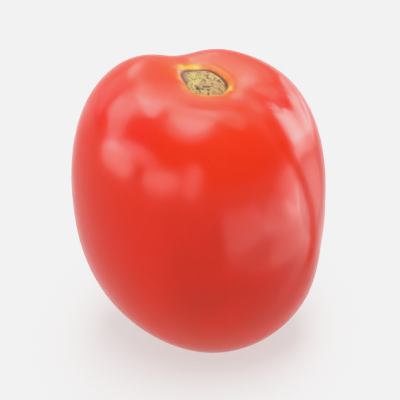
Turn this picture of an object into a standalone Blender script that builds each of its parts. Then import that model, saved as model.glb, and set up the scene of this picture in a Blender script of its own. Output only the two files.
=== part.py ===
"""A ripe plum tomato standing on its blossom end, with its stem scar up.

The fruit is one grown body. Z is up, the origin is the middle of the flat spot it rests on,
and -Y is the side towards the viewer. All sizes are in metres and all angles in radians.
"""

import math

import bmesh
import bpy
import numpy as np

# The body: a rounded barrel, blunter at the stem end than at the blossom end.
HALF_WIDTH = 0.028
HALF_HEIGHT = 0.037
BLUNTNESS = 2.34
STEM_END_BLUNTNESS = 0.3
SHOULDER_TAPER = 0.038
OVALNESS = 0.027

# The body leans a little and bends. Its left side reaches higher at the shoulder, and lower below.
LEAN = 0.0021
BOW = 0.0031
HIGH_SHOULDER_RISE = 0.003
HIGH_SHOULDER_TURN = 3.4
LOW_SIDE_DROP = 0.0023
LOW_SIDE_TURN = math.pi

# The hollow round the stem end.
STEM_HOLLOW_DEPTH = 0.0065
STEM_HOLLOW_RADIUS = 0.0133

# The soft furrows between the lobes: turn at the shoulder, half width, depth share, drift.
FRONT_RIGHT_FURROW = (-0.61, 0.26, 0.031, 0.51)
BACK_FURROW = (1.957, 0.44, 0.082, 0.0)
LEFT_FURROW = (-2.434, 0.42, 0.014, 0.0)
FURROW_SHARE_IN_HEIGHT = 1.65
FURROW_LEVEL = 0.9

# How the furrows fade towards the stem end, and along the fruit from their deepest level.
FURROW_END_POWER = 1.2
FURROW_DEEPEST_LEVEL = 0.85
FURROW_FADE_LENGTH = 2.6

# The flat spot at the blossom end, the soft turn from it into the side, and the flat spot's
# middle as seen from the blossom end's tip.
FLAT_SPOT_CUT = 0.0014
FLAT_SPOT_TURN = 0.0022
FLAT_SPOT_X = -0.0022
FLAT_SPOT_Y = -0.0005

# The corky stem scar: longer from front to back, with a blunt corner at the back left.
SCAR_RADIUS = 0.0055
SCAR_STRETCH = 0.21
SCAR_LONG_TURN = 1.82
SCAR_CORNERS = 0.06
SCAR_CORNER_TURN = 2.35

# The scar's relief, in heights and in shares of its radius: a cork plate with low ridges that
# run round and outwards, a groove at its edge, and a lip of skin outside the groove.
CORK_RISE = 0.0004
CORK_TOP_END = 0.74
CORK_RIM_END = 0.96
CORK_RIDGE = 0.00012
RIDGES_ROUND = (5, 3)
RIDGES_OUTWARDS = (7, -4)
RIDGE_SHIFT = 1.0
RIDGE_BAND = (0.64, 0.22)
SCAR_GROOVE_DEPTH = 0.0005
SCAR_GROOVE_BAND = (1.0, 0.1)
SKIN_LIP_RISE = 0.0002
SKIN_LIP_BAND = (1.24, 0.16)

# The ring where the stalk's veins ended, in front of the scar's middle.
STALK_RING_X = -0.0003
STALK_RING_Y = -0.0024
STALK_RING_RADIUS = 0.0014
STALK_RING_WIDTH = 0.0005
STALK_RING_RISE = 0.00025
STALK_PIT_DEPTH = 0.0002

# The net of faces: rings lie closer together at the stem end, and one follows the scar's edge.
SEGMENTS = 80
RINGS = 60
SCAR_RINGS = 8
RING_EVENNESS = 0.26
RING_SETTLE = 0.35

SKIN_RED = (0.62, 0.035, 0.012, 1.0)
SKIN_ROUGHNESS = 0.25
CORK_TAN = (0.47, 0.36, 0.13, 1.0)
CORK_ROUGHNESS = 0.85


def turn_between(turn, other):
    """The signed turn from one direction to another, between minus pi and pi."""
    return (turn - other + math.pi) % (2 * math.pi) - math.pi


def furrow(down, turn, shape):
    """How deep one furrow is at a point, as a share of the radius."""
    middle, half_width, depth, drift = shape
    across = turn_between(turn, middle + drift * (down - FURROW_LEVEL)) / half_width
    return depth * np.exp(-across * across)


def furrows(down, turn):
    """All furrows together, fading out towards both ends."""
    depth = furrow(down, turn, FRONT_RIGHT_FURROW)
    depth = depth + furrow(down, turn, BACK_FURROW)
    depth = depth + furrow(down, turn, LEFT_FURROW)
    at_ends = np.abs(np.sin(down)) ** FURROW_END_POWER
    along = np.clip(np.cos((down - FURROW_DEEPEST_LEVEL) / FURROW_FADE_LENGTH), 0, 1) ** 2
    return depth * at_ends * along


def scar_edge(turn):
    """How far down from the stem end the scar's edge lies, as an angle."""
    stretch = SCAR_STRETCH * np.cos(2 * (turn - SCAR_LONG_TURN))
    corners = SCAR_CORNERS * np.cos(3 * (turn - SCAR_CORNER_TURN))
    return SCAR_RADIUS * (1 + stretch + corners) / (HALF_WIDTH * (1 + SHOULDER_TAPER))


def step_down(value, start, end):
    """1 before start, 0 after end, with a smooth step between them."""
    share = np.clip((end - value) / (end - start), 0, 1)
    return share * share * (3 - 2 * share)


def bump(value, middle, half_width):
    """A rounded bump of height 1."""
    return np.exp(-(((value - middle) / half_width) ** 2))


def scar_relief(down, turn):
    """Height of the scar over the fruit: a cork plate with a stalk ring, a groove and a lip."""
    out = down / scar_edge(turn)
    cork = CORK_RISE * step_down(out, CORK_TOP_END, CORK_RIM_END)
    ridges = np.sin(RIDGES_ROUND[0] * turn + RIDGES_OUTWARDS[0] * out)
    ridges = ridges * np.sin(RIDGES_ROUND[1] * turn + RIDGES_OUTWARDS[1] * out + RIDGE_SHIFT)
    ridges = CORK_RIDGE * ridges * bump(out, *RIDGE_BAND)
    groove = SCAR_GROOVE_DEPTH * bump(out, *SCAR_GROOVE_BAND)
    lip = SKIN_LIP_RISE * bump(out, *SKIN_LIP_BAND)

    plan = HALF_WIDTH * (1 + SHOULDER_TAPER) * down
    from_ring = np.hypot(plan * np.cos(turn) - STALK_RING_X, plan * np.sin(turn) - STALK_RING_Y)
    ring = STALK_RING_RISE * bump(from_ring, STALK_RING_RADIUS, STALK_RING_WIDTH)
    pit = STALK_PIT_DEPTH * bump(from_ring, 0, STALK_RING_WIDTH)
    return cork + ridges - groove + lip + ring - pit


def rest_on_flat(height):
    """Presses what is under the ground level up to it, with a soft turn at the rim."""
    turned = height * height / (2 * FLAT_SPOT_TURN)
    lifted = np.where(height < FLAT_SPOT_TURN, turned, height - FLAT_SPOT_TURN / 2)
    return np.where(height < 0, 0, lifted)


def fruit_points(down, turn):
    """Points of the fruit's surface, for angles down from the stem end and round from +X."""
    power = BLUNTNESS + STEM_END_BLUNTNESS * np.cos(down)
    reach = np.abs(np.sin(down)) ** power + np.abs(np.cos(down)) ** power
    reach = reach ** (-1 / power)
    out = np.abs(np.sin(down)) * reach
    up = np.cos(down) * reach

    carved = furrows(down, turn)
    oval = 1 + OVALNESS * np.cos(2 * turn)
    radius = HALF_WIDTH * out * (1 + SHOULDER_TAPER * up) * (1 - carved) * oval

    upper = np.clip(up, 0, 1)
    hollow = STEM_HOLLOW_DEPTH * np.exp(-((radius / STEM_HOLLOW_RADIUS) ** 2)) * (up > 0)
    shoulder = HIGH_SHOULDER_RISE * out * upper * np.cos(turn - HIGH_SHOULDER_TURN)
    low_side = LOW_SIDE_DROP * out * np.clip(-up, 0, 1) * np.cos(turn - LOW_SIDE_TURN)
    height = HALF_HEIGHT * up * (1 - carved * FURROW_SHARE_IN_HEIGHT) - hollow
    height = height + shoulder - low_side + scar_relief(down, turn)

    bend = BOW * (up * up - 1) - LEAN * (up + 1)
    x = radius * np.cos(turn) + bend - FLAT_SPOT_X
    y = radius * np.sin(turn) - FLAT_SPOT_Y
    z = rest_on_flat(height + HALF_HEIGHT - FLAT_SPOT_CUT)
    return x, y, z


def ring_level(share):
    """The angle down from the stem end of a ring at this share of all rings."""
    return math.pi * share * (RING_EVENNESS + (1 - RING_EVENNESS) * share * (2 - share))


def level_on_fruit(share, turn):
    """The ring's angle, moved near the scar so that one ring runs along the scar's edge."""
    level = ring_level(share)
    edge_level = ring_level(SCAR_RINGS / RINGS)
    stretch = scar_edge(turn) / edge_level - 1
    past = np.clip(level - edge_level, 0, None) / RING_SETTLE
    return level * (1 + stretch * np.exp(-past * past))


def make_material(name, colour, roughness):
    """A plain glossy or matt material."""
    material = bpy.data.materials.new(name)
    material.use_nodes = True
    shader = material.node_tree.nodes["Principled BSDF"]
    shader.inputs["Base Color"].default_value = colour
    shader.inputs["Roughness"].default_value = roughness
    return material


def make_tomato(collection):
    """The whole fruit as one closed body, with the scar's faces in the cork material."""
    net = bmesh.new()
    bmesh.ops.create_uvsphere(net, u_segments=SEGMENTS, v_segments=RINGS, radius=1.0)
    net.verts.ensure_lookup_table()
    sphere = np.array([vert.co[:] for vert in net.verts])
    share = np.arccos(np.clip(sphere[:, 2], -1, 1)) / math.pi
    turn = np.arctan2(sphere[:, 1], sphere[:, 0])
    down = level_on_fruit(share, turn)
    for vert, point in zip(net.verts, np.stack(fruit_points(down, turn), axis=1)):
        vert.co = point
    for face in net.faces:
        face.smooth = True
        middle = sum(share[vert.index] for vert in face.verts) / len(face.verts)
        face.material_index = int(middle * RINGS < SCAR_RINGS)

    mesh = bpy.data.meshes.new("tomato")
    net.to_mesh(mesh)
    net.free()
    mesh.materials.append(make_material("tomato_skin", SKIN_RED, SKIN_ROUGHNESS))
    mesh.materials.append(make_material("tomato_stem_scar", CORK_TAN, CORK_ROUGHNESS))
    tomato = bpy.data.objects.new("tomato", mesh)
    collection.objects.link(tomato)
    return tomato


def main():
    for old in list(bpy.data.objects):
        bpy.data.objects.remove(old, do_unlink=True)
    collection = bpy.data.collections.new("tomato")
    bpy.context.scene.collection.children.link(collection)
    make_tomato(collection)


main()
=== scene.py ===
import math

import bpy
import numpy as np
from mathutils import Euler, Matrix, Vector, noise


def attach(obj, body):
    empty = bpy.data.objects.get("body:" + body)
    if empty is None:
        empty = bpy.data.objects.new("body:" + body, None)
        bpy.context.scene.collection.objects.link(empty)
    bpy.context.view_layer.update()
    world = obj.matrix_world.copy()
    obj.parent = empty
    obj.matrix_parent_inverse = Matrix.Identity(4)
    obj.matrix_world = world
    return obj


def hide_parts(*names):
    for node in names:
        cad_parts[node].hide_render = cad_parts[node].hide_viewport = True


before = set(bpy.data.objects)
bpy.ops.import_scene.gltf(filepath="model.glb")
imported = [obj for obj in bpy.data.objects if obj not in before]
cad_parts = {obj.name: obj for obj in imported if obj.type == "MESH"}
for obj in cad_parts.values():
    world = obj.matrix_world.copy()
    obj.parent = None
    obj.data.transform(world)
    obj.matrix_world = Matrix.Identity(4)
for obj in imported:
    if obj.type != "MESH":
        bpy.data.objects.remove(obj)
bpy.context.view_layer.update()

# A ripe plum tomato on a pale floor. Z is up, -Y is the side towards the viewer, sizes are in
# metres and angles in radians. Down is the angle from the stem end, and turn the angle from +X.

# The fruit's form: the same values and formula as the solid it stands for.
HALF_WIDTH = 0.028
HALF_HEIGHT = 0.037
BLUNTNESS = 2.34
STEM_END_BLUNTNESS = 0.3
SHOULDER_TAPER = 0.038
OVALNESS = 0.027
LEAN = 0.0021
BOW = 0.0031
HIGH_SHOULDER_RISE = 0.003
HIGH_SHOULDER_TURN = 3.4
LOW_SIDE_DROP = 0.0023
LOW_SIDE_TURN = math.pi
STEM_HOLLOW_DEPTH = 0.0065
STEM_HOLLOW_RADIUS = 0.0133

# The furrows between the lobes: turn at the shoulder, half width, depth share, drift. Then how
# they fade towards the stem end, and along the fruit from their deepest level.
FRONT_RIGHT_FURROW = (-0.61, 0.26, 0.031, 0.51)
BACK_FURROW = (1.957, 0.44, 0.082, 0.0)
LEFT_FURROW = (-2.434, 0.42, 0.014, 0.0)
FURROW_SHARE_IN_HEIGHT = 1.65
FURROW_LEVEL = 0.9
FURROW_END_POWER = 1.2
FURROW_DEEPEST_LEVEL = 0.85
FURROW_FADE_LENGTH = 2.6

# The narrow crease beside the front right furrow: its turn and bend on the way down, its
# half widths to the left and the right, its depth share, and where it begins and ends.
CREASE_LEVEL = 1.3
CREASE_TURN = (-0.385, -0.280, -0.340)
CREASE_LEFT = 0.194
CREASE_RIGHT = 0.179
CREASE_DEPTH = 0.022
CREASE_START = (0.24, 0.64)
CREASE_END = (1.65, 2.15)

# The fine dull line that runs down beside the crease: its turn at the crease's level and how it
# bends on the way down, its half width, and where it begins and ends.
DULL_LINE_TURN = (-0.445, 0.41, -0.65, -0.96)
DULL_LINE_HALF_WIDTH = 0.09
DULL_LINE_START = (0.70, 0.90)
DULL_LINE_END = (1.72, 1.90)

# The skin's own unevenness: soft waves, with their depth as a share of the radius, and the
# longest and the shortest in radians of swing over one radius. They fade out over an angle at
# the flat spot, and from an angle over another one at the scar.
WAVE_COUNT = 26
WAVE_DEPTH = 0.0011
WAVE_SEED = 7
WAVE_LONGEST = 5
WAVE_SHORTEST = 13
WAVE_FADE_LOW = 0.9
WAVE_FADE_TOP = (0.2, 0.5)

# The flat spot that the fruit rests on.
FLAT_SPOT_CUT = 0.0014
FLAT_SPOT_TURN = 0.0022
FLAT_SPOT_X = -0.0022
FLAT_SPOT_Y = -0.0005

# The corky stem scar, with a groove and a lip of skin round it.
SCAR_RADIUS = 0.0055
SCAR_STRETCH = 0.21
SCAR_LONG_TURN = 1.82
SCAR_CORNERS = 0.06
SCAR_CORNER_TURN = 2.35
SCAR_GROOVE_DEPTH = 0.0005
SCAR_GROOVE_BAND = (1.0, 0.1)
SKIN_LIP_RISE = 0.0002
SKIN_LIP_BAND = (1.24, 0.16)
SCAR_SINK = 0.0007
SCAR_SINK_EDGE = (0.93, 1.0)
SCAR_THICKNESS = 0.0012
CORK_RISE = 0.0004
CORK_TOP_END = 0.74
CORK_RIM_END = 0.96

# The ring where the stalk's veins ended.
STALK_RING_X = -0.0003
STALK_RING_Y = -0.0024
STALK_RING_RADIUS = 0.0014
STALK_RING_WIDTH = 0.0005
STALK_RING_RISE = 0.00025
STALK_PIT_DEPTH = 0.0002

# Sharp-edged random relief: roughness, step between octaves, offset, gain, level, highest value.
CRAG_ROUGHNESS = 0.9
CRAG_STEP = 2.1
CRAG_OFFSET = 1.0
CRAG_GAIN = 2.0
CRAG_LEVEL = 0.3
CRAG_TOP = 2.4

# The cork's grain: height, size, octaves, middle value, and where it ends at the scar's edge.
CORK_GRAIN = 0.00016
CORK_GRAIN_SIZE = 0.0007
CORK_GRAIN_OCTAVES = 4
CORK_GRAIN_MIDDLE = 0.4
CORK_GRAIN_END = (0.9, 1.0)

# The cork's cracks: their depth, and how far, in which size and on which levels they sway.
# Each kind runs along one value of a soft noise: size, level, value, half width, strength.
CORK_CRACK = 0.00020
CRACK_SWAY = 0.0006
CRACK_SWAY_SIZE = 0.0015
CRACK_SWAY_LEVELS = (2.0, 5.0)
CRACK_KINDS = (
    (0.0017, 1.0, 0.0, 0.055, 1.0),
    (0.0010, 8.0, 0.05, 0.06, 0.7),
)
CRACK_WEAR = (0.45, 0.55)
CRACK_WEAR_SIZE = 0.0013
CRACK_WEAR_OCTAVES = 2

# Cracks in rings near the scar's edge, and along its rim. Each side is given as the turn where
# they are strongest, their share all round and how much they swing.
RING_CRACKS = 8
RING_CRACK_STRENGTH = 0.8
RING_CRACK_POWER = 6
RING_CRACK_BAND = (0.80, 0.17)
RING_CRACK_SWAY = 0.10
RING_CRACK_SWAY_SIZE = 0.0030
RING_CRACK_SWAY_LEVEL = 3.0
RING_CRACK_SIDE = (-2.6, 0.35, 0.65)
RIM_CRACK_STRENGTH = 0.8
RIM_CRACK_BAND = (0.96, 0.05)
RIM_CRACK_SIDE = (math.pi / 2, 0.55, 0.6)

# The dark pits where the stalk's veins ended. Each has its place in plan, its half width across
# and from front to back, and its strength.
VEIN_PIT_DEPTH = 0.0005
VEIN_PITS = (
    (-0.00170, -0.0038, 0.00050, 0.00060, 1.0),
    (0.00095, -0.0039, 0.00032, 0.00055, 1.0),
    (-0.00130, -0.0010, 0.00040, 0.00045, 0.6),
    (0.00100, -0.0024, 0.00035, 0.00045, 0.6),
    (-0.00250, -0.0018, 0.00030, 0.00050, 0.5),
    (0.00220, 0.0022, 0.00045, 0.00060, 0.5),
    (0.00330, 0.0010, 0.00050, 0.00040, 0.6),
    (0.00290, -0.0026, 0.00050, 0.00045, 0.45),
)

# The nets of faces. The smallest angle keeps the scar's middle point off the stem end itself.
SKIN_SEGMENTS = 360
SKIN_RINGS = 250
SCAR_SEGMENTS = 300
SCAR_RINGS = 110
RING_EVENNESS = 0.26
RING_SETTLE = 0.35
SMALLEST_ANGLE = 1e-6

# The skin's colours, as linear red, green, blue and opacity.
BRIGHT_RED = (0.86, 0.024, 0.002, 1)
# Painted sheen: a pinker red on the shoulders, standing in for the reflection of the pale surround.
PAINTED_SHEEN_RED = (0.88, 0.070, 0.022, 1)
DEEP_RED = (0.68, 0.020, 0.005, 1)
# Painted light: a paler red low on the fruit.
PAINTED_LOW_LIGHT_RED = (0.68, 0.100, 0.073, 1)
# Painted glow: a brighter, more orange red high on the front right.
PAINTED_GLOW_RED = (0.86, 0.036, 0.004, 1)
# Painted shade: a darker red on the front, around and below the middle.
PAINTED_SHADE_RED = (0.46, 0.012, 0.003, 1)
CLOUD_RED = (0.84, 0.020, 0.004, 1)
STREAK_RED = (0.86, 0.028, 0.006, 1)
DOT_ORANGE = (0.90, 0.22, 0.05, 1)
# Painted shade: a deeper red on the glossy shoulders, under their stronger shine.
GLOSSY_PAINTED_SHADE_RED = (0.86, 0.004, 0.001, 1)
HALO_ORANGE = (0.90, 0.12, 0.016, 1)
HALO_YELLOW = (0.88, 0.47, 0.03, 1)
HALO_PALE = (0.90, 0.44, 0.22, 1)
HALO_EDGE = (0.86, 0.38, 0.13, 1)
# Painted shadow: a dark brown on the skin's rim round the scar, at the back and the right.
RIM_PAINTED_SHADOW = (0.13, 0.03, 0.02, 1)
TIP_BROWN = (0.16, 0.07, 0.03, 1)

# Sides of the fruit: the turn of the middle, then the nearness to it, as a cosine, where the
# side begins and where it is in full.
FRONT_RIGHT = (-0.95, 0.4, 0.95)
FRONT = (-1.25, 0.70, 0.97)
LEFT_SHOULDER = (-2.55, 0.80, 0.95)
RIGHT_SHOULDER = (-0.30, 0.93, 0.99)
LEFT_EDGE = (3.10, 0.86, 0.97)
RIGHT_LIP = (-0.20, 0.3, 0.9)
RIGHT_RIM = (-0.15, 0.80, 0.98)
HALO_BACK_LEFT = (2.06, 0.88, 0.985)
HALO_LEFT = (3.0, 0.75, 0.97)
HALO_RIGHT = (-0.55, 0.93, 0.995)

# Smooth steps, as start, end, value up to the start and value from the end. These are along the
# angle down from the stem end.
DEEP_STEP = (0.9, 2.6, 0.0, 1.0)
# Where the painted sheen on the shoulders fades out.
PAINTED_SHEEN_STEP = (0.25, 0.85, 0.8, 0.0)
# Where the painted light low on the fruit comes in.
PAINTED_LOW_LIGHT_STEP = (1.6, 2.6, 0.0, 1.0)
# Where the painted glow on the front right fades out, down the fruit.
PAINTED_GLOW_STEP = (0.8, 1.35, 0.7, 0.0)
# Where the painted shade on the front begins and ends, down the fruit.
PAINTED_SHADE_START = (1.0, 1.35, 0.0, 0.38)
PAINTED_SHADE_END = (1.8, 2.3, 1.0, 0.0)
GLOSSY_START = (0.48, 0.62, 0.0, 1.0)
GLOSSY_END = (0.88, 1.0, 1.0, 0.0)
TIP_STEP = (3.10, 3.125, 0.0, 1.0)
SOFT_TOP = (0.38, 0.60, 0.14, 0.0)
DULL_LOW = (1.6, 2.3, 0.0, 0.36)

# These steps are along the distance from the stem end, as a share of the distance to the scar's
# edge. The last one runs from the front of the fruit to the back.
ORANGE_STEP = (1.0, 2.1, 0.8, 0.0)
YELLOW_STEP = (1.08, 1.42, 1.0, 0.0)
PALE_STEP = (1.0, 1.45, 0.8, 0.0)
EDGE_STEP = (1.0, 1.16, 0.7, 0.0)
# Where the painted shadow on the skin's rim round the scar lies.
RIM_SHADOW_STEP = (1.01, 1.12, 1.0, 0.0)
DULL_LIP = (1.3, 1.9, 0.3, 0.0)
# How the painted rim shadow grows from the front to the back.
BEHIND_STEP = (-0.5, 0.6, 0.0, 0.95)

# The skin's random patterns, as scale, detail and roughness, and the step each one goes through.
CLOUDS = (90, 3, 0.5)
CLOUD_STEP = (0.35, 0.7, 0.0, 1.0)
CLOUD_STRENGTH = 0.35
STREAKS = (9, 3, 0.6)
STREAK_STRETCH = (3.0, 3.0, 0.35)
STREAK_STEP = (0.5, 0.75, 0.0, 1.0)
STREAK_STRENGTH = 0.14
DOT_SCALE = 700
DOT_STEP = (0.04, 0.11, 1.0, 0.0)
DOT_STRENGTH = 0.22
HALO_WOBBLE = (420, 3, 0.5)
HALO_WOBBLE_SIZE = 0.6
HALO_LEAST = 0.22
# How strongly the painted shade deepens the red on the glossy shoulders.
GLOSSY_PAINTED_SHADE_STRENGTH = 0.4
SHEEN = (260, 2, 0.5)
SHEEN_STEP = (0.3, 0.7, 0.17, 0.22)
PEEL = (1400, 2, 0.5)
PEEL_BUMP = (0.06, 0.0002)

# How the skin reflects: the shine away from and in the dull line, what the glossy shoulders add,
# what the left edge takes away, and the least that is left.
SKIN_IOR = 1.30
DULL_LINE_SHINE = (0.0, 1.0, 0.5, 0.07)
GLOSSY_SHINE = 0.5
LEFT_EDGE_DULLNESS = 0.22
LEAST_SHINE = 0.07
SKIN_SUBSURFACE = 0.12
SKIN_SUBSURFACE_RADIUS = (1.0, 0.22, 0.1)
SKIN_SUBSURFACE_SCALE = 0.003

# The cork's colours.
CORK_OLIVE = (0.56, 0.42, 0.135, 1)
CORK_TAN = (0.46, 0.29, 0.11, 1)
CORK_GREEN = (0.44, 0.43, 0.09, 1)
CORK_PALE = (0.68, 0.54, 0.24, 1)
CORK_BROWN = (0.42, 0.25, 0.10, 1)
CORK_GRAIN_BROWN = (0.22, 0.14, 0.06, 1)
CRACK_BROWN = (0.12, 0.056, 0.024, 1)
PIT_BROWN = (0.045, 0.022, 0.010, 1)
# A dark rim round the cork: its own faint outline, deepened at the back by painted shadow.
CORK_RIM_AND_PAINTED_SHADOW = (0.11, 0.035, 0.035, 1)
CORK_MAUVE = (0.25, 0.13, 0.11, 1)

# The cork's random patterns and steps, as for the skin, and the turn of its left side.
PATCHES = (480, 3, 0.5)
PATCH_STEP = (0.42, 0.6, 0.0, 1.0)
GREENS = (330, 2, 0.5)
GREEN_STEP = (0.52, 0.66, 0.0, 1.0)
GREEN_STRENGTH = 0.4
PALES = (1300, 3, 0.6)
PALES_STEP = (0.5, 0.68, 0.0, 1.0)
PALES_STRENGTH = 0.6
GRAINS = (3600, 4, 0.7)
GRAIN_STEP = (0.45, 0.7, 0.0, 1.0)
GRAIN_STRENGTH = 0.45
SCAR_LEFT_TURN = 2.5
BROWN_SIDE = (-0.9, 0.3, 0.5, 0.0)
MAUVE_SIDE = (0.55, 0.95, 0.0, 1.0)
MAUVE_BAND = (0.62, 0.95, 0.0, 1.0)
MAUVE_STRENGTH = 0.7
CRACK_STEP = (0.08, 0.60, 0.0, 0.92)
PIT_STEP = (0.15, 0.75, 0.0, 1.0)
# Where the cork's dark rim lies, and how its painted shadow grows towards the back.
CORK_RIM_AND_SHADOW_STEP = (0.88, 0.98, 0.0, 1.0)
CORK_SHADOW_BEHIND_STEP = (-0.6, 0.5, 0.2, 0.9)
CORK_ROUGHNESS = 0.8
CORK_SHINE = 0.3
CORK_FUZZ = (5200, 3, 0.5)
CORK_FUZZ_BUMP = (0.5, 0.0001)

# The floor: a wide pale plane that gives off some light of its own.
FLOOR_SIZE = 20
FLOOR_GREY = (0.33, 0.33, 0.33, 1)
FLOOR_GLOW = 0.55
FLOOR_ROUGHNESS = 0.9
FLOOR_SHINE = 0.1
WHITE = (1, 1, 1, 1)

# The camera: straight in front, looking down at the fruit.
CAMERA_DISTANCE = 0.6
CAMERA_ELEVATION = math.radians(32)
CAMERA_LENS = 238.0
CAMERA_CLIP = 0.01
CAMERA_TARGET = (-0.0030, 0.0012, 0.03455)

# Softboxes all round: azimuth (0 in front, 90 to the right), elevation, half width, half height
# and roll in degrees, then brightness and distance in metres. The ones in SHINE only add shine.
FRUIT_MIDDLE = 0.035
SURROUND_BRIGHTNESS = 0.45
WASH = {
    "overhead": (-13, 90, 15.0, 34.0, 5, 6.5, 3.0),
}
SHINE = {
    "top_left": (-145.6, 58.6, 29.1, 6.8, 23, 5.8, 3.0),
    "left_arc": (-110, 38.8, 23.1, 11.7, 86, 1.5, 3.0),
    "left_strip": (-108, 34.9, 11.1, 38.0, 43, 3.05, 3.0),
    "left_low": (-77.3, 2.8, 17.1, 9.6, 2, 7.5, 0.45),
    "left_front": (-58.3, 13.4, 21.0, 7.8, -4, 2.7, 3.0),
    "front_left": (-32, 3.1, 17.8, 8.0, 9, 5.6, 0.45),
    "front": (-4.5, 6.4, 7.1, 13.6, -18, 4.4, 0.45),
    "overhead_shine": (-13, 90, 15.0, 34.0, 5, 1.9, 2.9),
    "overhead_front": (-12, 69.5, 20.1, 24.9, 3, 4.4, 3.0),
    "back_left": (-163, 12.6, 34.4, 12.0, -21, 0.7, 3.0),
    "right_top": (119.0, 60.5, 24.7, 13.5, 1, 3.2, 3.0),
    "right_low": (119.0, 13.2, 13.0, 17.8, -12, 5.8, 0.45),
    "right_wide": (140.2, 10.0, 4.6, 22.2, -2, 2.2, 3.0),
    "back_right": (147.8, 0.8, 13.9, 13.8, -40, 2.1, 3.0),
    "back": (-172.7, 41.1, 59.3, 14.6, -23, 1.2, 3.0),
    "back_spot": (-171.0, 26.5, 9.5, 6.0, 28, 5.4, 3.0),
}

# Pale cards just over the floor at the right, one above the other: middle in x and y, half
# length and half width in metres, turn in degrees and brightness.
CARDS = {
    "card_wide": (0.132, -0.084, 0.094, 0.060, -38.0, 1.0),
    "card_near": (0.079, -0.014, 0.022, 0.034, -10.0, 1.3),
    "card_front": (0.077, -0.114, 0.050, 0.040, 107.0, 2.5),
    "card_middle": (0.127, -0.046, 0.045, 0.038, -20.0, 2.5),
    "card_bright": (0.142, 0.006, 0.040, 0.036, 24.0, 4.0),
    "card_side": (0.112, 0.037, 0.042, 0.016, 25.0, 1.2),
    "card_right": (0.298, 0.162, 0.232, 0.126, 96.8, 3.0),
}
CARD_HEIGHT = 0.002
CARD_STEP = 0.0003

# Points of the display curve, whose white is the pale grey of the backdrop.
TONES = ((0.0, 0.0), (0.4, 0.4), (0.75, 0.75), (0.9, 0.855), (1.0, 0.888))


def turn_between(turn, other):
    """The signed turn from one direction to another, between minus pi and pi."""
    return (turn - other + math.pi) % (2 * math.pi) - math.pi


def step_down(value, start, end):
    """1 before start, 0 after end, with a smooth step between them."""
    share = np.clip((end - value) / (end - start), 0, 1)
    return share * share * (3 - 2 * share)


def bump(value, middle, half_width):
    """A rounded bump of height 1."""
    return np.exp(-(((value - middle) / half_width) ** 2))


def strongest_at(turn, middle, share, swing):
    """A value between 0 and 1 that is highest at one turn and falls to the other side."""
    return np.clip(share + swing * np.cos(turn - middle), 0, 1)


def furrow(down, turn, shape):
    """How deep one furrow is at a point, as a share of the radius."""
    middle, half_width, depth, drift = shape
    across = turn_between(turn, middle + drift * (down - FURROW_LEVEL)) / half_width
    return depth * np.exp(-across * across)


def furrows(down, turn):
    """All furrows together, fading out towards both ends."""
    depth = furrow(down, turn, FRONT_RIGHT_FURROW)
    depth = depth + furrow(down, turn, BACK_FURROW)
    depth = depth + furrow(down, turn, LEFT_FURROW)
    at_ends = np.abs(np.sin(down)) ** FURROW_END_POWER
    along = np.clip(np.cos((down - FURROW_DEEPEST_LEVEL) / FURROW_FADE_LENGTH), 0, 1) ** 2
    return depth * at_ends * along


def crease(down, turn):
    """How deep the narrow crease is at a point, as a share of the radius."""
    below = down - CREASE_LEVEL
    start, lean, bend = CREASE_TURN
    across = turn_between(turn, start + lean * below + bend * below * below)
    across = across / np.where(across < 0, CREASE_LEFT, CREASE_RIGHT)
    fade = (1 - step_down(down, *CREASE_START)) * step_down(down, *CREASE_END)
    return CREASE_DEPTH * np.exp(-across * across) * fade


def dull_line(down, turn):
    """1 in the middle of the fine dull line, and 0 away from it."""
    below = down - CREASE_LEVEL
    middle = sum(share * below ** power for power, share in enumerate(DULL_LINE_TURN))
    fade = (1 - step_down(down, *DULL_LINE_START)) * step_down(down, *DULL_LINE_END)
    return bump(turn_between(turn, middle), 0, DULL_LINE_HALF_WIDTH) * fade


def skin_waves(down, turn):
    """Soft random waves over the whole skin, fading out at the flat spot and at the scar."""
    draw = np.random.default_rng(WAVE_SEED)
    across = np.sin(down) * np.cos(turn), np.sin(down) * np.sin(turn), np.cos(down)
    total = np.zeros_like(down)
    for _ in range(WAVE_COUNT):
        direction = draw.normal(size=3)
        direction = direction / np.linalg.norm(direction) * draw.uniform(WAVE_LONGEST, WAVE_SHORTEST)
        phase = draw.uniform(0, 2 * math.pi)
        swing = sum(part * axis for part, axis in zip(across, direction))
        total += np.sin(swing + phase) * WAVE_LONGEST / np.linalg.norm(direction)
    calm_low = np.clip((math.pi - down) / WAVE_FADE_LOW, 0, 1)
    fade_start, fade_length = WAVE_FADE_TOP
    calm_top = np.clip((down - fade_start) / fade_length, 0, 1)
    return WAVE_DEPTH * total / math.sqrt(WAVE_COUNT) * calm_low * calm_top


def scar_edge(turn):
    """How far down from the stem end the scar's edge lies, as an angle."""
    stretch = SCAR_STRETCH * np.cos(2 * (turn - SCAR_LONG_TURN))
    corners = SCAR_CORNERS * np.cos(3 * (turn - SCAR_CORNER_TURN))
    return SCAR_RADIUS * (1 + stretch + corners) / (HALF_WIDTH * (1 + SHOULDER_TAPER))


def rest_on_flat(height):
    """Presses what is under the ground level up to it, with a soft turn at the rim."""
    turned = height * height / (2 * FLAT_SPOT_TURN)
    lifted = np.where(height < FLAT_SPOT_TURN, turned, height - FLAT_SPOT_TURN / 2)
    return np.where(height < 0, 0, lifted)


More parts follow.
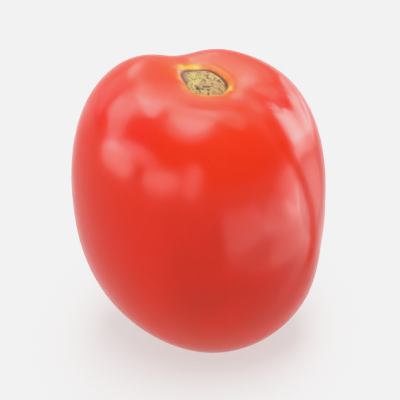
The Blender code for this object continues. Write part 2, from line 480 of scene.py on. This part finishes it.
def fruit_points(down, turn, relief):
    """Points of the fruit's surface, with relief added to its height."""
    power = BLUNTNESS + STEM_END_BLUNTNESS * np.cos(down)
    reach = np.abs(np.sin(down)) ** power + np.abs(np.cos(down)) ** power
    reach = reach ** (-1 / power)
    out = np.abs(np.sin(down)) * reach
    up = np.cos(down) * reach

    carved = furrows(down, turn) + crease(down, turn) + skin_waves(down, turn)
    oval = 1 + OVALNESS * np.cos(2 * turn)
    radius = HALF_WIDTH * out * (1 + SHOULDER_TAPER * up) * (1 - carved) * oval

    upper = np.clip(up, 0, 1)
    hollow = STEM_HOLLOW_DEPTH * np.exp(-((radius / STEM_HOLLOW_RADIUS) ** 2)) * (up > 0)
    shoulder = HIGH_SHOULDER_RISE * out * upper * np.cos(turn - HIGH_SHOULDER_TURN)
    low_side = LOW_SIDE_DROP * out * np.clip(-up, 0, 1) * np.cos(turn - LOW_SIDE_TURN)
    height = HALF_HEIGHT * up * (1 - carved * FURROW_SHARE_IN_HEIGHT) - hollow
    height = height + shoulder - low_side + relief

    bend = BOW * (up * up - 1) - LEAN * (up + 1)
    x = radius * np.cos(turn) + bend - FLAT_SPOT_X
    y = radius * np.sin(turn) - FLAT_SPOT_Y
    z = rest_on_flat(height + HALF_HEIGHT - FLAT_SPOT_CUT)
    return np.stack([x, y, z], axis=-1)


def scar_plan(down, turn):
    """Where a point of the scar lies in plan, in metres from the stem end."""
    plan = HALF_WIDTH * (1 + SHOULDER_TAPER) * down
    return plan * np.cos(turn), plan * np.sin(turn)


def skin_relief(down, turn):
    """The skin round the scar: a groove and a lip, and a sunk floor where the cork lies."""
    out = down / scar_edge(turn)
    groove = SCAR_GROOVE_DEPTH * bump(out, *SCAR_GROOVE_BAND)
    lip = SKIN_LIP_RISE * bump(out, *SKIN_LIP_BAND)
    sunk = SCAR_SINK * step_down(out, *SCAR_SINK_EDGE)
    return lip - groove - sunk


def craggy(x, y, size, octaves):
    """Sharp-edged random relief between about 0 and 1, at a given size of its features."""
    settings = (CRAG_ROUGHNESS, CRAG_STEP, octaves, CRAG_OFFSET, CRAG_GAIN)
    values = [
        noise.ridged_multi_fractal(Vector((a / size, b / size, CRAG_LEVEL)), *settings)
        for a, b in zip(x.ravel(), y.ravel())
    ]
    return np.clip(np.array(values).reshape(x.shape) / CRAG_TOP, 0, 1)


def soft_noise(x, y, size, level):
    """Smooth random values between about -1 and 1, at a given size of their features."""
    values = [noise.noise(Vector((a / size, b / size, level))) for a, b in zip(x.ravel(), y.ravel())]
    return np.array(values).reshape(x.shape)


def cork_marks(down, turn):
    """How much each point of the cork is cracked, and how much it lies in a vein's pit."""
    out = down / scar_edge(turn)
    x, y = scar_plan(down, turn)
    first_level, second_level = CRACK_SWAY_LEVELS
    bent_x = x + CRACK_SWAY * soft_noise(x, y, CRACK_SWAY_SIZE, first_level)
    bent_y = y + CRACK_SWAY * soft_noise(x, y, CRACK_SWAY_SIZE, second_level)
    cracks = np.zeros_like(x)
    for size, level, value, half_width, strength in CRACK_KINDS:
        lines = strength * bump(soft_noise(bent_x, bent_y, size, level), value, half_width)
        cracks = np.maximum(cracks, lines)

    sway = soft_noise(bent_x, bent_y, RING_CRACK_SWAY_SIZE, RING_CRACK_SWAY_LEVEL)
    wavy = out + RING_CRACK_SWAY * sway
    rings = np.cos(wavy * 2 * math.pi * RING_CRACKS) * 0.5 + 0.5
    rings = RING_CRACK_STRENGTH * rings ** RING_CRACK_POWER * bump(out, *RING_CRACK_BAND)
    cracks = np.maximum(cracks, rings * strongest_at(turn, *RING_CRACK_SIDE))
    least, more = CRACK_WEAR
    cracks = cracks * (least + more * craggy(x, y, CRACK_WEAR_SIZE, CRACK_WEAR_OCTAVES))
    rim = RIM_CRACK_STRENGTH * bump(out, *RIM_CRACK_BAND) * strongest_at(turn, *RIM_CRACK_SIDE)
    cracks = np.clip(cracks + rim, 0, 1)

    pits = np.zeros_like(x)
    for pit_x, pit_y, half_x, half_y, strength in VEIN_PITS:
        away = np.hypot((bent_x - pit_x) / half_x, (bent_y - pit_y) / half_y)
        pits = np.maximum(pits, strength * bump(away, 0, 1))
    return cracks, pits


def cork_relief(down, turn, cracks, pits):
    """The cork plate's height over the fruit."""
    out = down / scar_edge(turn)
    x, y = scar_plan(down, turn)
    cork = CORK_RISE * step_down(out, CORK_TOP_END, CORK_RIM_END)
    groove = SCAR_GROOVE_DEPTH * bump(out, *SCAR_GROOVE_BAND)
    from_ring = np.hypot(x - STALK_RING_X, y - STALK_RING_Y)
    ring = STALK_RING_RISE * bump(from_ring, STALK_RING_RADIUS, STALK_RING_WIDTH)
    middle = STALK_PIT_DEPTH * bump(from_ring, 0, STALK_RING_WIDTH)
    grain = CORK_GRAIN * (craggy(x, y, CORK_GRAIN_SIZE, CORK_GRAIN_OCTAVES) - CORK_GRAIN_MIDDLE)
    fine = grain - CORK_CRACK * cracks - VEIN_PIT_DEPTH * pits
    return cork - groove + ring - middle + fine * step_down(out, *CORK_GRAIN_END)


def ring_level(share):
    """The angle down from the stem end of a ring at this share of all rings."""
    return math.pi * share * (RING_EVENNESS + (1 - RING_EVENNESS) * share * (2 - share))


def shares_and_turns(shares, segments):
    """A net's shares and turns, one row for each ring."""
    turns = np.linspace(-math.pi, math.pi, segments, endpoint=False)
    return np.broadcast_arrays(shares[:, None], turns[None, :])


def net_of_rings(rows, columns):
    """Faces between rings of points, with one point more at each end."""
    faces = []
    for row in range(rows - 1):
        for column in range(columns):
            after = (column + 1) % columns
            low = row * columns
            faces.append((low + column, low + columns + column, low + columns + after, low + after))
    top, bottom = rows * columns, rows * columns + 1
    last = (rows - 1) * columns
    for column in range(columns):
        after = (column + 1) % columns
        faces.append((top, column, after))
        faces.append((bottom, last + after, last + column))
    return faces


def make_piece(name, points, ends, attributes):
    """A closed mesh piece from rings of points, its two end points and its point attributes."""
    mesh = bpy.data.meshes.new(name)
    vertices = np.concatenate([points.reshape(-1, 3), ends])
    mesh.from_pydata(vertices.tolist(), [], net_of_rings(*points.shape[:2]))
    mesh.shade_smooth()
    for key, (values, top, bottom) in attributes.items():
        layer = mesh.attributes.new(key, "FLOAT", "POINT")
        layer.data.foreach_set("value", np.append(values.ravel(), (top, bottom)).astype(np.float32))
    mesh.update()
    piece = bpy.data.objects.new(name, mesh)
    bpy.context.scene.collection.objects.link(piece)
    return piece


def make_skin():
    """The fruit's skin, closed under the scar too."""
    share, turn = shares_and_turns(np.linspace(0, 1, SKIN_RINGS + 1)[1:-1], SKIN_SEGMENTS)
    level = ring_level(share)
    edge_level = SCAR_RADIUS / (HALF_WIDTH * (1 + SHOULDER_TAPER))
    stretch = scar_edge(turn) / edge_level - 1
    past = np.clip(level - edge_level, 0, None) / RING_SETTLE
    down = level * (1 + stretch * np.exp(-past * past))
    points = fruit_points(down, turn, skin_relief(down, turn))
    tips = np.array([0.0, math.pi])
    ends = fruit_points(tips, np.zeros(2), np.array([-SCAR_SINK, 0.0]))
    attributes = {
        "scar_distance": (down / scar_edge(turn), 0.0, math.pi / edge_level),
        "down": (down, 0.0, math.pi),
        "dull_line": (dull_line(down, turn), 0.0, 0.0),
        "around_x": (np.cos(turn), 1.0, 1.0),
        "around_y": (np.sin(turn), 0.0, 0.0),
    }
    return make_piece("tomato_skin", points, ends, attributes)


def make_scar():
    """The corky stem scar: a craggy plate with a flat underside sunk in the skin."""
    share, turn = shares_and_turns(np.linspace(0, 1, SCAR_RINGS + 1)[1:], SCAR_SEGMENTS)
    down = share * scar_edge(turn)
    cracks, pits = cork_marks(down, turn)
    top = fruit_points(down, turn, cork_relief(down, turn, cracks, pits))
    middle_down, middle_turn = np.full((1, 1), SMALLEST_ANGLE), np.zeros((1, 1))
    middle_marks = cork_marks(middle_down, middle_turn)
    middle_relief = cork_relief(middle_down, middle_turn, *middle_marks)
    middle = fruit_points(middle_down, middle_turn, middle_relief)[0, 0]
    thickness = np.array([0, 0, SCAR_THICKNESS])
    points = np.concatenate([top, top[-1:] - thickness])
    ends = np.stack([middle, middle - thickness])
    around = np.concatenate([turn, turn[-1:]])
    attributes = {
        "behind": (np.sin(around), 0.0, 0.0),
        "left": (np.cos(around - SCAR_LEFT_TURN), 0.0, 0.0),
        "crack": (np.concatenate([cracks, cracks[-1:]]), float(middle_marks[0][0, 0]), 0.0),
        "pit": (np.concatenate([pits, pits[-1:]]), 0.0, 0.0),
        "scar_distance": (np.concatenate([share, share[-1:]]), 0.0, 1.0),
    }
    return make_piece("tomato_stem_scar", points, ends, attributes)


class Nodes:
    """Short calls for building one material's nodes."""

    # The places of a mix node's colour sockets among all its sockets.
    MIX_FIRST = 6
    MIX_SECOND = 7
    MIX_RESULT = 2

    def __init__(self, material):
        material.use_nodes = True
        self.tree = material.node_tree
        self.shader = self.tree.nodes["Principled BSDF"]

    def new(self, kind, **settings):
        node = self.tree.nodes.new(kind)
        for key, value in settings.items():
            setattr(node, key, value)
        return node

    def link(self, source, target):
        self.tree.links.new(source, target)

    def shade(self, **inputs):
        """Sets or links the shader's inputs, named with underscores."""
        for key, value in inputs.items():
            self.value_of(value, self.shader.inputs[key.replace("_", " ")])

    def attribute(self, name):
        return self.new("ShaderNodeAttribute", attribute_name=name).outputs["Fac"]

    def value_of(self, value, target):
        """Links a socket to the target, or sets the target to a plain value."""
        if isinstance(value, bpy.types.NodeSocket):
            self.link(value, target)
        else:
            target.default_value = value

    def maths(self, operation, first, second):
        node = self.new("ShaderNodeMath", operation=operation)
        self.value_of(first, node.inputs[0])
        self.value_of(second, node.inputs[1])
        return node.outputs[0]

    def times(self, first, second):
        return self.maths("MULTIPLY", first, second)

    def most(self, first, second):
        return self.maths("MAXIMUM", first, second)

    def step(self, value, start, end, before, after):
        """A smooth step from one value to another between start and end."""
        node = self.new("ShaderNodeMapRange", interpolation_type="SMOOTHSTEP")
        self.link(value, node.inputs["Value"])
        node.inputs["From Min"].default_value = start
        node.inputs["From Max"].default_value = end
        node.inputs["To Min"].default_value = before
        node.inputs["To Max"].default_value = after
        return node.outputs["Result"]

    def blend(self, factor, first, second):
        """The first colour at factor 0, and the second at factor 1."""
        node = self.new("ShaderNodeMix", data_type="RGBA", blend_type="MIX")
        self.value_of(factor, node.inputs["Factor"])
        self.value_of(first, node.inputs[self.MIX_FIRST])
        self.value_of(second, node.inputs[self.MIX_SECOND])
        return node.outputs[self.MIX_RESULT]

    def place(self):
        return self.new("ShaderNodeTexCoord").outputs["Object"]

    def noise(self, where, scale, detail, roughness):
        node = self.new("ShaderNodeTexNoise")
        self.link(where, node.inputs["Vector"])
        node.inputs["Scale"].default_value = scale
        node.inputs["Detail"].default_value = detail
        node.inputs["Roughness"].default_value = roughness
        return node.outputs["Fac"]

    def from_dots(self, where, scale):
        """The distance from the nearest of many scattered dots."""
        node = self.new("ShaderNodeTexVoronoi")
        self.link(where, node.inputs["Vector"])
        node.inputs["Scale"].default_value = scale
        return node.outputs["Distance"]

    def towards(self, turn, start, full):
        """1 towards this turn round the fruit, and 0 away from it."""
        along = self.times(self.attribute("around_x"), math.cos(turn))
        beside = self.times(self.attribute("around_y"), math.sin(turn))
        return self.step(self.maths("ADD", along, beside), start, full, 0.0, 1.0)

    def vector(self, *parts):
        node = self.new("ShaderNodeCombineXYZ")
        for value, target in zip(parts, node.inputs):
            self.value_of(value, target)
        return node.outputs[0]

    def bumps(self, height, strength, distance):
        node = self.new("ShaderNodeBump")
        self.link(height, node.inputs["Height"])
        node.inputs["Strength"].default_value = strength
        node.inputs["Distance"].default_value = distance
        return node.outputs["Normal"]


def skin_red(nodes, place, down, glossy):
    """The skin's reds, with clouds, faint streaks down the fruit and fine pale dots, and with
    painted sheen, light, glow and shade.
    """
    colour = nodes.blend(nodes.step(down, *DEEP_STEP), BRIGHT_RED, DEEP_RED)
    # Painted sheen: the shoulders are pinker, as if they reflected the pale surround.
    colour = nodes.blend(nodes.step(down, *PAINTED_SHEEN_STEP), colour, PAINTED_SHEEN_RED)
    # Painted light: the skin turns a paler red low on the fruit.
    colour = nodes.blend(nodes.step(down, *PAINTED_LOW_LIGHT_STEP), colour, PAINTED_LOW_LIGHT_RED)
    # Painted glow: a brighter, more orange red high on the front right.
    painted_glow = nodes.times(nodes.towards(*FRONT_RIGHT), nodes.step(down, *PAINTED_GLOW_STEP))
    colour = nodes.blend(painted_glow, colour, PAINTED_GLOW_RED)
    # Painted shade: a darker red patch on the front, around and below the middle.
    shade = nodes.times(nodes.towards(*FRONT), nodes.step(down, *PAINTED_SHADE_START))
    shade = nodes.times(shade, nodes.step(down, *PAINTED_SHADE_END))
    colour = nodes.blend(shade, colour, PAINTED_SHADE_RED)

    clouds = nodes.step(nodes.noise(place, *CLOUDS), *CLOUD_STEP)
    colour = nodes.blend(nodes.times(clouds, CLOUD_STRENGTH), colour, CLOUD_RED)
    around = nodes.attribute("around_x"), nodes.attribute("around_y"), down
    streak_place = nodes.vector(*(nodes.times(*pair) for pair in zip(around, STREAK_STRETCH)))
    streaks = nodes.step(nodes.noise(streak_place, *STREAKS), *STREAK_STEP)
    colour = nodes.blend(nodes.times(streaks, STREAK_STRENGTH), colour, STREAK_RED)
    dots = nodes.step(nodes.from_dots(place, DOT_SCALE), *DOT_STEP)
    colour = nodes.blend(nodes.times(dots, DOT_STRENGTH), colour, DOT_ORANGE)
    # Painted shade: the glossy shoulders get a deeper red under their stronger shine.
    return nodes.blend(nodes.times(glossy, GLOSSY_PAINTED_SHADE_STRENGTH), colour, GLOSSY_PAINTED_SHADE_RED)


def skin_halo(nodes, place, out, colour):
    """The orange and yellow skin next to the scar, and painted shadow on its rim at the back and the
    right.
    """
    wobble = nodes.maths("SUBTRACT", nodes.noise(place, *HALO_WOBBLE), 0.5)
    near = nodes.maths("ADD", out, nodes.times(wobble, HALO_WOBBLE_SIZE))
    colour = nodes.blend(nodes.step(near, *ORANGE_STEP), colour, HALO_ORANGE)
    sides = nodes.most(nodes.towards(*HALO_BACK_LEFT), nodes.towards(*HALO_RIGHT))
    yellow = nodes.times(nodes.step(near, *YELLOW_STEP), nodes.most(sides, HALO_LEAST))
    colour = nodes.blend(yellow, colour, HALO_YELLOW)
    pale = nodes.times(nodes.towards(*HALO_LEFT), nodes.step(near, *PALE_STEP))
    colour = nodes.blend(pale, colour, HALO_PALE)
    colour = nodes.blend(nodes.step(near, *EDGE_STEP), colour, HALO_EDGE)
    # Painted shadow along the skin's rim round the scar, at the back and on the right.
    behind = nodes.step(nodes.attribute("around_y"), *BEHIND_STEP)
    behind = nodes.most(behind, nodes.towards(*RIGHT_RIM))
    rim = nodes.times(nodes.step(out, *RIM_SHADOW_STEP), behind)
    return nodes.blend(rim, colour, RIM_PAINTED_SHADOW)


def skin_shine(nodes, down, out, glossy):
    """How strongly the skin reflects: more on the shoulders, less where it is dull."""
    shine = nodes.step(nodes.attribute("dull_line"), *DULL_LINE_SHINE)
    shine = nodes.maths("ADD", shine, nodes.times(glossy, GLOSSY_SHINE))
    left = nodes.times(nodes.towards(*LEFT_EDGE), LEFT_EDGE_DULLNESS)
    lip = nodes.times(nodes.towards(*RIGHT_LIP), nodes.step(out, *DULL_LIP))
    for dullness in (left, lip, nodes.step(down, *DULL_LOW)):
        shine = nodes.maths("SUBTRACT", shine, dullness)
    return nodes.most(shine, LEAST_SHINE)


def skin_material():
    """Glossy red skin, yellow next to the scar, deeper red below, with fine pale dots and painted
    light and shade.
    """
    material = bpy.data.materials.new("tomato_skin")
    nodes = Nodes(material)
    place = nodes.place()
    down = nodes.attribute("down")
    out = nodes.attribute("scar_distance")
    sides = nodes.most(nodes.towards(*LEFT_SHOULDER), nodes.towards(*RIGHT_SHOULDER))
    level = nodes.times(nodes.step(down, *GLOSSY_START), nodes.step(down, *GLOSSY_END))
    glossy = nodes.times(sides, level)

    colour = skin_red(nodes, place, down, glossy)
    colour = skin_halo(nodes, place, out, colour)
    colour = nodes.blend(nodes.step(down, *TIP_STEP), colour, TIP_BROWN)
    sheen = nodes.step(nodes.noise(place, *SHEEN), *SHEEN_STEP)
    nodes.shade(
        Base_Color=colour,
        Roughness=nodes.maths("ADD", sheen, nodes.step(down, *SOFT_TOP)),
        IOR=SKIN_IOR,
        Specular_IOR_Level=skin_shine(nodes, down, out, glossy),
        Subsurface_Weight=SKIN_SUBSURFACE,
        Subsurface_Radius=SKIN_SUBSURFACE_RADIUS,
        Subsurface_Scale=SKIN_SUBSURFACE_SCALE,
        Normal=nodes.bumps(nodes.noise(place, *PEEL), *PEEL_BUMP),
    )
    return material


def scar_material():
    """Matt cork: olive tan with brown cracks, dark pits and a purple-brown rim, faint at the front
    and deepened at the back by painted shadow.
    """
    material = bpy.data.materials.new("tomato_stem_scar")
    nodes = Nodes(material)
    place = nodes.place()
    out = nodes.attribute("scar_distance")
    left = nodes.attribute("left")
    patches = nodes.step(nodes.noise(place, *PATCHES), *PATCH_STEP)
    colour = nodes.blend(patches, CORK_OLIVE, CORK_TAN)
    green = nodes.step(nodes.noise(place, *GREENS), *GREEN_STEP)
    colour = nodes.blend(nodes.times(green, GREEN_STRENGTH), colour, CORK_GREEN)
    pale = nodes.step(nodes.noise(place, *PALES), *PALES_STEP)
    colour = nodes.blend(nodes.times(pale, PALES_STRENGTH), colour, CORK_PALE)
    colour = nodes.blend(nodes.step(left, *BROWN_SIDE), colour, CORK_BROWN)
    grain = nodes.step(nodes.noise(place, *GRAINS), *GRAIN_STEP)
    colour = nodes.blend(nodes.times(grain, GRAIN_STRENGTH), colour, CORK_GRAIN_BROWN)
    colour = nodes.blend(nodes.step(nodes.attribute("crack"), *CRACK_STEP), colour, CRACK_BROWN)
    colour = nodes.blend(nodes.step(nodes.attribute("pit"), *PIT_STEP), colour, PIT_BROWN)
    # The cork's dark rim: a faint outline at the front, deepened at the back by painted shadow.
    behind = nodes.step(nodes.attribute("behind"), *CORK_SHADOW_BEHIND_STEP)
    rim = nodes.times(nodes.step(out, *CORK_RIM_AND_SHADOW_STEP), behind)
    colour = nodes.blend(rim, colour, CORK_RIM_AND_PAINTED_SHADOW)
    mauve = nodes.times(nodes.step(out, *MAUVE_BAND), nodes.step(left, *MAUVE_SIDE))
    colour = nodes.blend(nodes.times(mauve, MAUVE_STRENGTH), colour, CORK_MAUVE)
    nodes.shade(
        Base_Color=colour,
        Roughness=CORK_ROUGHNESS,
        Specular_IOR_Level=CORK_SHINE,
        Normal=nodes.bumps(nodes.noise(place, *CORK_FUZZ), *CORK_FUZZ_BUMP),
    )
    return material


def make_floor():
    """A wide pale floor."""
    bpy.ops.mesh.primitive_plane_add(size=FLOOR_SIZE)
    floor = bpy.context.object
    floor.name = "floor"
    material = bpy.data.materials.new("floor")
    Nodes(material).shade(
        Base_Color=FLOOR_GREY,
        Emission_Color=WHITE,
        Emission_Strength=FLOOR_GLOW,
        Roughness=FLOOR_ROUGHNESS,
        Specular_IOR_Level=FLOOR_SHINE,
    )
    floor.data.materials.append(material)


def make_camera():
    """The camera at the photograph's viewing angle."""
    data = bpy.data.cameras.new("camera")
    data.lens = CAMERA_LENS
    data.clip_start = CAMERA_CLIP
    camera = bpy.data.objects.new("camera", data)
    bpy.context.scene.collection.objects.link(camera)
    back = Vector((0, -math.cos(CAMERA_ELEVATION), math.sin(CAMERA_ELEVATION)))
    camera.location = Vector(CAMERA_TARGET) + back * CAMERA_DISTANCE
    camera.rotation_euler = Euler((math.pi / 2 - CAMERA_ELEVATION, 0, 0))
    bpy.context.scene.camera = camera


def make_light(name, size, brightness, place, axes, round_shape=True, shine_only=True):
    """An area light of one brightness, seen by the fruit but not by the camera."""
    width, height = size
    across, up = axes
    data = bpy.data.lights.new(name, "AREA")
    data.shape = "ELLIPSE" if round_shape else "RECTANGLE"
    data.size, data.size_y = width, height
    area = width * height * (math.pi / 4 if round_shape else 1)
    data.energy = brightness * math.pi * area
    light = bpy.data.objects.new(name, data)
    bpy.context.scene.collection.objects.link(light)
    turned = Matrix((across, up, across.cross(up))).transposed()
    light.matrix_world = Matrix.Translation(place) @ turned.to_4x4()
    light.visible_camera = False
    light.visible_diffuse = not shine_only


def make_softbox(name, box, shine_only):
    """An elliptical softbox facing the fruit."""
    azimuth, elevation, half_width, half_height, roll = (math.radians(angle) for angle in box[:5])
    brightness, distance = box[5:]
    ahead = Vector((math.sin(azimuth), -math.cos(azimuth), 0))
    out = ahead * math.cos(elevation) + Vector((0, 0, math.sin(elevation)))
    level = Vector((math.cos(azimuth), math.sin(azimuth), 0))
    rise = out.cross(level)
    across = level * math.cos(roll) + rise * math.sin(roll)
    up = rise * math.cos(roll) - level * math.sin(roll)
    size = 2 * distance * math.tan(half_width), 2 * distance * math.tan(half_height)
    place = Vector((0, 0, FRUIT_MIDDLE)) + out * distance
    make_light(name, size, brightness, place, (across, up), shine_only=shine_only)


def make_card(name, card, height):
    """A pale card over the floor, facing up."""
    x, y, half_length, half_width, turn, brightness = card
    turn = math.radians(turn)
    along = Vector((math.cos(turn), math.sin(turn), 0))
    ahead = Vector((math.sin(turn), -math.cos(turn), 0))
    size = 2 * half_length, 2 * half_width
    place = Vector((x, y, height))
    make_light(name, size, brightness, place, (along, ahead), round_shape=False)


def make_lights():
    """Plain soft studio light: a pale surround, softboxes all round, and cards near the floor."""
    world = bpy.data.worlds.new("studio")
    bpy.context.scene.world = world
    world.use_nodes = True
    background = world.node_tree.nodes["Background"]
    background.inputs["Color"].default_value = WHITE
    background.inputs["Strength"].default_value = SURROUND_BRIGHTNESS
    for name, box in WASH.items():
        make_softbox(name, box, False)
    for name, box in SHINE.items():
        make_softbox(name, box, True)
    for step, (name, card) in enumerate(CARDS.items()):
        make_card(name, card, CARD_HEIGHT + CARD_STEP * step)


def set_tones():
    """A plain display curve whose white is the pale grey of the photograph's backdrop."""
    view = bpy.context.scene.view_settings
    view.view_transform = "Standard"
    view.use_curve_mapping = True
    mapping = view.curve_mapping
    mapping.extend = "HORIZONTAL"
    combined = mapping.curves[3]
    combined.points[-1].location = TONES[-1]
    for point in TONES[1:-1]:
        combined.points.new(*point)
    mapping.update()


def main():
    skin = make_skin()
    skin.data.materials.append(skin_material())
    scar = make_scar()
    scar.data.materials.append(scar_material())
    for piece, slot in ((skin, "skin"), (scar, "stem_scar")):
        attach(piece, "root")
        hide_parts("tomato")
    make_floor()
    make_lights()
    make_camera()
    set_tones()


main()
